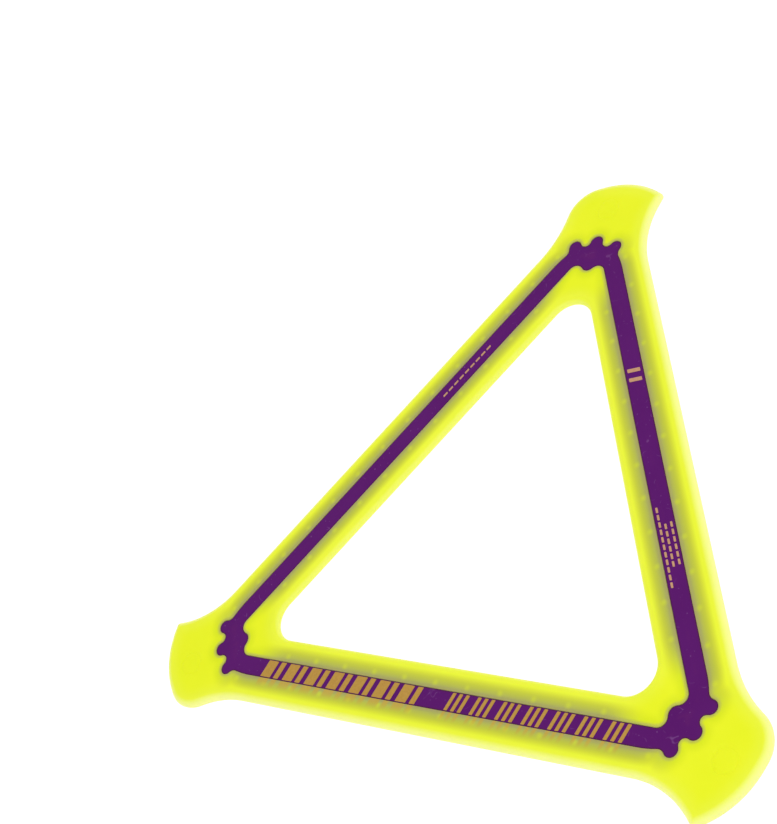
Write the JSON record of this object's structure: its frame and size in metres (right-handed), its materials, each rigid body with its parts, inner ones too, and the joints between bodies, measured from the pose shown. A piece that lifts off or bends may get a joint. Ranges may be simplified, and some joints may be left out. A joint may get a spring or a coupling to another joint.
{
  "type": "boomerang",
  "caption": "Open triangular boomerang with swept tips: stiff core strip moulded between soft rubber edges, foil bars on its face.",
  "frame": {"origin": "middle of the open triangle, halfway through its thickness: the point it spins about", "axes": "+Z out of the printed face, +Y towards one corner, +X to the right seen from the printed face"},
  "size_m": [0.2911, 0.2602, 0.0046],
  "materials": {
    "core_plastic": "satin moulded polycarbonate, purple",
    "edge_rubber": "translucent soft rubber, fluorescent yellow",
    "print_foil": "hot-stamped gold foil, dull"
  },
  "bodies": {
    "root": {"core": "core_plastic", "outer_rubber_edge": "edge_rubber", "inner_rubber_edge": "edge_rubber", "foil_bar_print": "print_foil", "foil_mark_print": "print_foil"}
  },
  "joints": []
}
